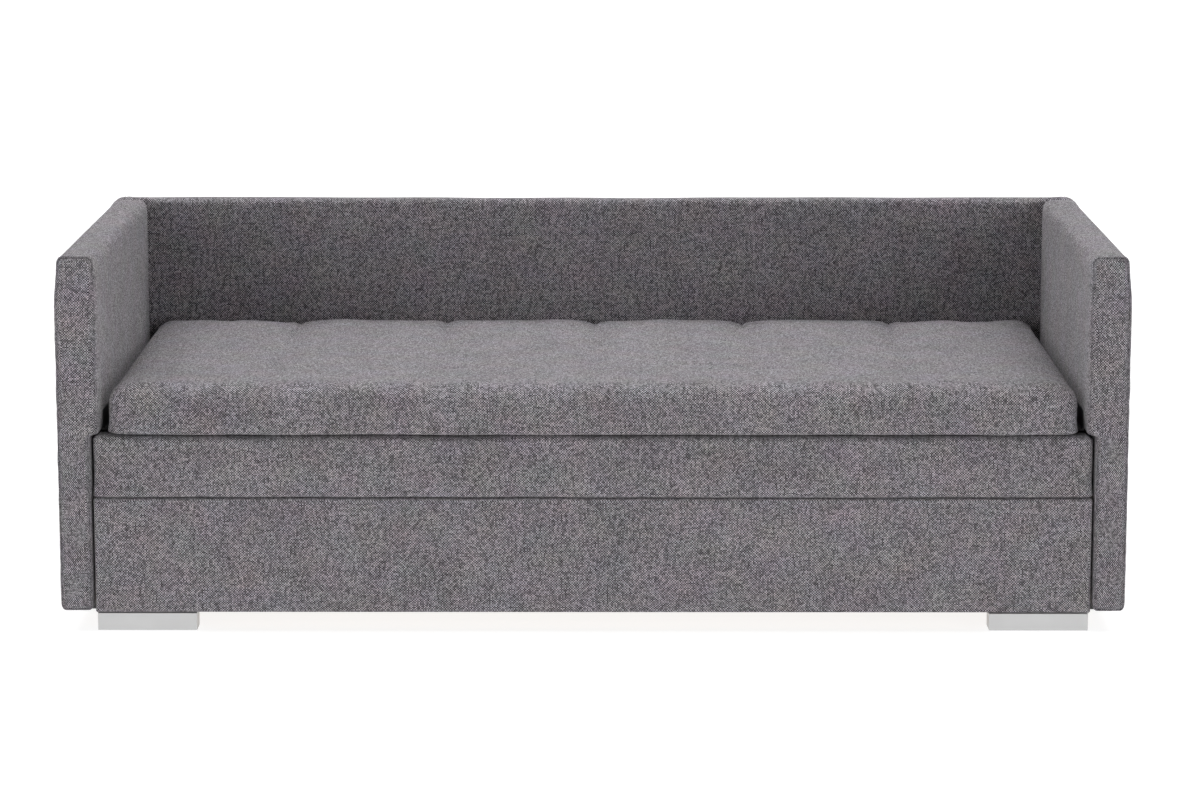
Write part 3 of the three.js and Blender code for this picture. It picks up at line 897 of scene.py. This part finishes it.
# an arm's front edge as (place behind the front, inset): the face, the seam sunk in it, the rounded boxing
ARM_FRONT = [
    (0.0, 0.0127), (0.0003, 0.0092), (0.0010, 0.0070), (0.0046, 0.0056), (0.0050, 0.0044), (0.0016, 0.0030),
    (0.0042, 0.0008), (0.0095, 0.0),
]
ARM_SEAM = 0.0048
# extra rows of points above and below the step where the thicker pad begins
STEP_OFFSETS = (-0.014, -0.008, -0.0045, -0.003, 0.0, 0.003, 0.0045, 0.008, 0.014)


class BED_OT_arms(bpy.types.Operator):
    """Makes the left and right arm: a padded board with a thicker pad above the seat line"""

    bl_idname = "trundle_bed.arms"
    bl_label = "Arms"

    def execute(self, context):
        pads = context.scene.bed_pads
        low, high = (np.array(c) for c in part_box("right_arm_cover"))
        low[2] -= 0.5 * MM
        step_place, step_depth, step_rise = 0.413, 0.018, 0.006
        runs = (
            stops(low[0], high[0], pads.pitch),
            stops(low[2], high[2], pads.pitch, (step_place,), STEP_OFFSETS),
        )
        points, outward, counts = rounded_outline(
            (low[0], low[2]), (high[0], high[2]), (0.013, 0.014, 0.015, 0.021), runs
        )
        curve = edge_curve(low[1], high[1], 0.0, 0.004, pads.pitch, front=ARM_FRONT)
        verts, faces, uvs = pad_surface(points, outward, counts, curve, (0, 2, 1))
        width = high[0] - low[0]
        thin = 1 - (step_depth / width) * (1 - ease((verts[:, 2] - step_place + step_rise / 2) / step_rise))
        lean = lean_in(verts[:, 2], high[2], ARM_LEAN)
        share = (verts[:, 0] - low[0]) / width
        verts[:, 0] = high[0] - (high[0] - verts[:, 0]) * thin - lean * share
        groove = np.abs(verts[:, 1] - (low[1] + ARM_SEAM)) < 0.0022
        for side, sign, seed in (("right", 1.0, 31), ("left", -1.0, 47)):
            placed = verts * np.array([sign, 1.0, 1.0])
            placed[:, 1] += np.where(
                verts[:, 1] < low[1] + 0.02, 0.0006 * ripple(verts[:, 0], verts[:, 2], seed, 0.09), 0.0
            )
            turned = faces if sign > 0 else faces[:, ::-1]
            laid = uvs if sign > 0 else uvs[:, ::-1]
            laid = laid + np.array([0.37 * sign, 0.19 * seed])
            piece = make_piece(side + "_arm_pad", placed, turned, laid, finish_for(GREY_WEAVE))
            co = coordinates(piece.data)
            held = groove | (co[:, 2] < low[2] + HEM) | (co[:, 1] > high[1] - HEM)
            held |= np.abs(co[:, 2] - step_place) < 0.013
            inner = np.abs(co[:, 0]) < 1.05
            reach = np.where((co[:, 2] < step_place) & inner, 0.0008, 0.0026)
            finish_pad(piece, held, reach, "daybed", side + "_arm_cover")
        return {"FINISHED"}


class BED_OT_back(bpy.types.Operator):
    """Makes the padded back, which runs the bed's whole length behind the arms"""

    bl_idname = "trundle_bed.back"
    bl_label = "Back"

    def execute(self, context):
        pads = context.scene.bed_pads
        low, high = (np.array(c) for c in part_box("back_cover"))
        low[2] -= 0.5 * MM
        runs = (stops(low[1], high[1], pads.pitch), stops(low[2], high[2], pads.pitch))
        points, outward, counts = rounded_outline(
            (low[1], low[2]), (high[1], high[2]), (0.013, 0.013, pads.back_top, pads.back_top), runs
        )
        end = pads.back_end
        curve = edge_curve(low[0], high[0], end, end, pads.pitch, grooved=True)
        verts, faces, uvs = pad_surface(points, outward, counts, curve, (1, 2, 0))
        lean = lean_in(verts[:, 2], high[2], BACK_LEAN)
        verts[:, 0] -= lean * np.sign(verts[:, 0]) * ease((np.abs(verts[:, 0]) - 0.9) / 0.2)
        slope = 0.007 * ease((verts[:, 1] - low[1] - 0.005) / 0.085) - 0.0045
        verts[:, 2] -= slope * ease((verts[:, 2] - (high[2] - 0.045)) / 0.045)
        piece = make_piece("back_pad", verts, faces, uvs, finish_for(GREY_WEAVE))
        co = coordinates(piece.data)
        co[:, 2] += ease((co[:, 2] - 0.76) / 0.02) * 0.0009 * ripple(co[:, 0], co[:, 1], 61, 0.35)
        set_coordinates(piece.data, co)
        held = (co[:, 2] < low[2] + HEM) | ((np.abs(co[:, 0]) > 1.0) & (co[:, 1] < 0.43))
        seam = np.abs(co[:, 0]) + lean_in(co[:, 2], high[2], BACK_LEAN)
        held |= np.abs(seam - (high[0] - end - 0.002)) < 0.0024
        reach = np.where(np.abs(co[:, 0]) > high[0] - 0.03, 0.0012, 0.0025)
        finish_pad(piece, held, reach, "daybed", "back_cover")
        return {"FINISHED"}


class BED_OT_front_panel(bpy.types.Operator):
    """Makes the padded panel on the trundle's front"""

    bl_idname = "trundle_bed.front_panel"
    bl_label = "Front panel"

    def execute(self, context):
        pads = context.scene.bed_pads
        low, high = (np.array(c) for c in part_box("front_panel_cover"))
        low[0], high[0] = low[0] - 2.5 * MM, high[0] + 2.5 * MM
        runs = (stops(low[0], high[0], pads.pitch), stops(low[2], high[2], pads.pitch))
        points, outward, counts = rounded_outline(
            (low[0], low[2]), (high[0], high[2]), (0.006, 0.006, 0.008, 0.008), runs
        )
        curve = edge_curve(low[1] + 0.0015, high[1], 0.004, 0.002, pads.pitch)
        verts, faces, uvs = pad_surface(points, outward, counts, curve, (0, 2, 1))
        piece = make_piece("front_panel_pad", verts, faces, uvs, finish_for(GREY_WEAVE))
        co = coordinates(piece.data)
        held = co[:, 1] > low[1] + 0.011
        finish_pad(piece, held, 0.0020, "trundle", "front_panel_cover")
        return {"FINISHED"}


# ---------------------------------------------------------------- timber, steel and wheels


# how far the edges of each group's nodes are eased
EASED_TIMBER = {
    0.0008: [
        "back_core", "left_arm_core", "right_arm_core", "front_panel_board", "platform_deck",
    ],
    0.0025: [
        "platform_front_rail", "platform_rear_rail", "platform_left_rail", "platform_right_rail",
        "platform_centre_rail", "trundle_front_rail", "trundle_back_board", "trundle_left_side",
        "trundle_right_side", "trundle_left_runner", "trundle_right_runner",
    ],
}
EASED_STEEL = {
    0.0006: [
        "left_support_angle", "right_support_angle", "rear_support_angle", "left_corner_bracket",
        "right_corner_bracket", "left_rear_fork", "right_rear_fork",
    ],
}


def slot_of(node):
    """The finish that the CAD gave a node."""
    return frame["nodes"][node].data.materials[0].name.split(".")[0]


def ease_nodes(nodes, easing):
    """Gives each node eased edges and its finish."""
    for node in nodes:
        slot = slot_of(node)
        settle(eased_copy(node, easing, finish_for(slot)), body_of(node), slot, node)


class BED_OT_timber(bpy.types.Operator):
    """Makes the boards and rails of the bed, the platform and the trundle"""

    bl_idname = "trundle_bed.timber"
    bl_label = "Boards and rails"

    def execute(self, context):
        for easing, nodes in EASED_TIMBER.items():
            ease_nodes(nodes, easing)
        return {"FINISHED"}


class BED_OT_slats(bpy.types.Operator):
    """Makes the trundle's slats"""

    bl_idname = "trundle_bed.slats"
    bl_label = "Slats"

    def execute(self, context):
        ease_nodes([n for n in sorted(frame["nodes"]) if n.startswith("trundle_slat_")], 0.004)
        return {"FINISHED"}


class BED_OT_steel(bpy.types.Operator):
    """Makes the support angles, corner brackets and castor forks"""

    bl_idname = "trundle_bed.steel"
    bl_label = "Angles, brackets and forks"

    def execute(self, context):
        for easing, nodes in EASED_STEEL.items():
            ease_nodes(nodes, easing)
        return {"FINISHED"}


class BED_OT_feet(bpy.types.Operator):
    """Makes the two silver front feet and the bed's own moulded feet"""

    bl_idname = "trundle_bed.feet"
    bl_label = "Feet"

    def execute(self, context):
        ease_nodes(["left_front_foot", "right_front_foot"], 0.0012)
        ease_nodes([
            "back_centre_foot", "left_arm_front_foot", "left_arm_rear_foot", "right_arm_front_foot",
            "right_arm_rear_foot",
        ], 0.003)
        return {"FINISHED"}


# a bolt's shank and socket as shares of its head's radius
BOLT_SHANK = 4.0 / 7.0
BOLT_SOCKET = 0.36


def turned_piece(node, profile, steps, crease=None, **turning):
    """Turns a profile about a node's middle, creases it past an angle, and puts it in the node's place."""
    verts, faces, uvs = turned_surface(middle_and_half(node)[0], profile, steps, **turning)
    piece = make_piece(node + "_turned", verts, faces, uvs, finish_for(slot_of(node)))
    if crease:
        piece.data.set_sharp_from_angle(angle=math.radians(crease))
    settle(piece, body_of(node), slot_of(node), node)


def middle_and_half(node):
    """A node's centre and its half size."""
    low, high = (np.array(c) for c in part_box(node))
    return (low + high) / 2, (high - low) / 2


class BED_OT_wheels(bpy.types.Operator):
    """Turns the four wheels: a rounded tread, a dished web and a raised hub"""

    bl_idname = "trundle_bed.wheels"
    bl_label = "Wheels"

    def execute(self, context):
        for node, bore in (
            ("left_front_wheel", 0.0032), ("right_front_wheel", 0.0032),
            ("left_rear_wheel", 0.0042), ("right_rear_wheel", 0.0042),
        ):
            w, _, r = middle_and_half(node)[1]
            one_side = np.array([
                (w, bore), (w, bore + 0.0022), (w - 0.0004, bore + 0.0028), (w - 0.0028, bore + 0.0032),
                (w - 0.0034, bore + 0.0040), (w - 0.0034, r * 0.70), (w - 0.0028, r * 0.76),
                (w - 0.0008, r * 0.79), (w - 0.0002, r * 0.82), (w - 0.0002, r - 0.0030),
                (w - 0.0010, r - 0.0012), (w - 0.0026, r - 0.0002), (w - 0.0045, r),
            ])
            other = one_side[::-1] * np.array([-1.0, 1.0])
            ring = np.concatenate([one_side, other, one_side[:1]])
            turned_piece(node, ring, 72)
        return {"FINISHED"}


class BED_OT_axles(bpy.types.Operator):
    """Turns the four axles, with chamfered ends"""

    bl_idname = "trundle_bed.axles"
    bl_label = "Axles"

    def execute(self, context):
        for node in ("left_front_axle", "right_front_axle", "left_rear_axle", "right_rear_axle"):
            w, _, r = middle_and_half(node)[1]
            profile = [
                (-w, 0.0), (-w, r * 0.72), (-w + 0.0008, r), (0.0, r), (w - 0.0008, r), (w, r * 0.72),
                (w, 0.0),
            ]
            turned_piece(node, profile, 40)
        return {"FINISHED"}


class BED_OT_bolts(bpy.types.Operator):
    """Turns the four bracket bolts: a plain shank, a round head and a six-sided socket in it"""

    bl_idname = "trundle_bed.bolts"
    bl_label = "Bolts"

    def execute(self, context):
        for node in ("left_arm_bolt", "right_arm_bolt", "left_back_bolt", "right_back_bolt"):
            centre, half = middle_and_half(node)
            axis = int(np.argmax(half[:2]))
            r, w = half[2], half[axis]
            inward = -np.sign(centre[axis])
            shank, socket = r * BOLT_SHANK, r * BOLT_SOCKET
            pairs = np.array([
                (-w, 0.0), (-w, shank * 0.75), (-w + 0.0012, shank), (w - 0.0052, shank),
                (w - 0.0050, shank + 0.0004), (w - 0.0050, r - 0.0004), (w - 0.0045, r),
                (w - 0.0012, r), (w - 0.0003, r * 0.90), (w, r * 0.74), (w, socket + 0.0005),
                (w - 0.0004, socket), (w - 0.0030, socket), (w - 0.0036, socket * 0.5), (w - 0.0042, 0.0),
            ])
            bore = (pairs[:, 0] < w) & (pairs[:, 1] <= socket * 1.001)
            bore[:4] = False
            pairs[:, 0] *= inward
            turned_piece(node, pairs, 60, crease=40, bore=bore, axis=axis)
        return {"FINISHED"}


class BED_OT_buffers(bpy.types.Operator):
    """Turns the two rubber buffers on the trundle's back board, with a rounded nose"""

    bl_idname = "trundle_bed.buffers"
    bl_label = "Buffers"

    def execute(self, context):
        for node in ("trundle_left_buffer", "trundle_right_buffer"):
            _, w, r = middle_and_half(node)[1]
            turn = np.linspace(0.0, math.pi / 2, 7)
            nose = np.stack([w - 0.005 + 0.005 * np.sin(turn), r - 0.005 + 0.005 * np.cos(turn)], axis=1)
            pairs = np.concatenate([
                [(-w, 0.0), (-w, r), (-w + 0.0030, r), (-w + 0.0036, r - 0.0008)],
                [(-w + 0.0050, r - 0.0008), (-w + 0.0058, r)], nose, [(w, 0.0)],
            ])
            turned_piece(node, pairs, 48, crease=50, axis=1)
        return {"FINISHED"}


class BED_OT_stage(bpy.types.Operator):
    """Makes the floor, the lights and the camera"""

    bl_idname = "trundle_bed.stage"
    bl_label = "Stage"
    light_spread = 36.0

    def execute(self, context):
        stage = context.scene.bed_stage
        half = stage.floor_half
        corners = np.array([[-half, -half, 0], [half, -half, 0], [half, half, 0], [-half, half, 0]])
        floor = make_piece(
            "floor", corners, np.array([[0, 1, 2, 3]]), corners[None, :, :2], self.floor_material(stage)
        )
        self.make_sky(context.scene, stage)
        for place, azimuth, rise, strength in (
            ("front", 36.0, 8.0, stage.front_light),
            ("side", 110.0, 25.0, stage.side_light),
            ("top", 110.0, 65.0, stage.top_light),
        ):
            for side, sign in (("left", -1.0), ("right", 1.0)):
                lamp = bpy.data.lights.new(f"{side}_{place}_light", "SUN")
                lamp.energy = strength
                lamp.angle = math.radians(self.light_spread)
                lamp.specular_factor = 0.6
                holder = bpy.data.objects.new(lamp.name, lamp)
                context.scene.collection.objects.link(holder)
                holder.rotation_euler = (math.radians(90.0 - rise), 0.0, math.radians(sign * azimuth))
        lens = bpy.data.cameras.new("camera")
        lens.lens = stage.lens
        lens.sensor_width = 36.0
        lens.clip_end = 300.0
        camera = bpy.data.objects.new("camera", lens)
        context.scene.collection.objects.link(camera)
        camera.location = stage.camera_place
        camera.rotation_euler = (math.pi / 2 - stage.camera_tilt, 0.0, stage.camera_turn)
        context.scene.camera = camera
        context.scene.view_settings.view_transform = "Standard"
        # the denoiser reads each surface's own colour as it is, so that it doesn't rub out single yarns
        context.scene.cycles.denoising_prefilter = "NONE"
        return {"FINISHED"}

    def floor_material(self, stage):
        """Matt pale floor with hardly visible unevenness."""
        r = Recipe("Pale floor")
        slow = r.noise(object_place(r), 0.8, 2.0)
        colour = tuple(stage.floor_colour)
        tone = r.blend(r.remap(slow, 0.3, 0.7, 0.0, 1.0), colour, tuple(c * 0.985 for c in colour))
        return r.finish(tone, 0.9, Specular_IOR_Level=0.1, Emission_Color=(1.0, 1.0, 1.0, 1.0),
                        Emission_Strength=stage.floor_glow)

    def make_sky(self, scene, stage):
        """Faint even light from everywhere."""
        world = bpy.data.worlds.new("studio")
        scene.world = world
        world.use_nodes = True
        world.node_tree.nodes["Background"].inputs["Color"].default_value = (1.0, 1.0, 1.0, 1.0)
        world.node_tree.nodes["Background"].inputs["Strength"].default_value = stage.sky


OPERATORS = (
    BED_OT_stage, BED_OT_arms, BED_OT_back, BED_OT_upper_mattress, BED_OT_trundle_mattress,
    BED_OT_front_panel, BED_OT_timber, BED_OT_slats, BED_OT_steel, BED_OT_feet, BED_OT_wheels,
    BED_OT_axles, BED_OT_bolts, BED_OT_buffers,
)


class BED_PT_panel(bpy.types.Panel):
    """The add-on's buttons and settings"""

    bl_idname = "BED_PT_panel"
    bl_label = "Trundle bed"
    bl_space_type = "VIEW_3D"
    bl_region_type = "UI"
    bl_category = "Trundle bed"

    def draw(self, context):
        column = self.layout.column(align=True)
        for operator in OPERATORS:
            column.operator(operator.bl_idname)
        for name, group in SETTINGS.items():
            box = self.layout.box()
            for field in group.__annotations__:
                box.prop(getattr(context.scene, name), field)


def register():
    for group in SETTINGS.values():
        bpy.utils.register_class(group)
    for name, group in SETTINGS.items():
        setattr(bpy.types.Scene, name, PointerProperty(type=group))
    for operator in OPERATORS:
        bpy.utils.register_class(operator)
    bpy.utils.register_class(BED_PT_panel)


def unregister():
    bpy.utils.unregister_class(BED_PT_panel)
    for operator in reversed(OPERATORS):
        bpy.utils.unregister_class(operator)
    for name, group in reversed(SETTINGS.items()):
        delattr(bpy.types.Scene, name)
        bpy.utils.unregister_class(group)


def main():
    register()
    for operator in OPERATORS:
        group, action = operator.bl_idname.split(".")
        getattr(getattr(bpy.ops, group), action)()
    bpy.context.view_layer.update()


if __name__ == "__main__":
    main()
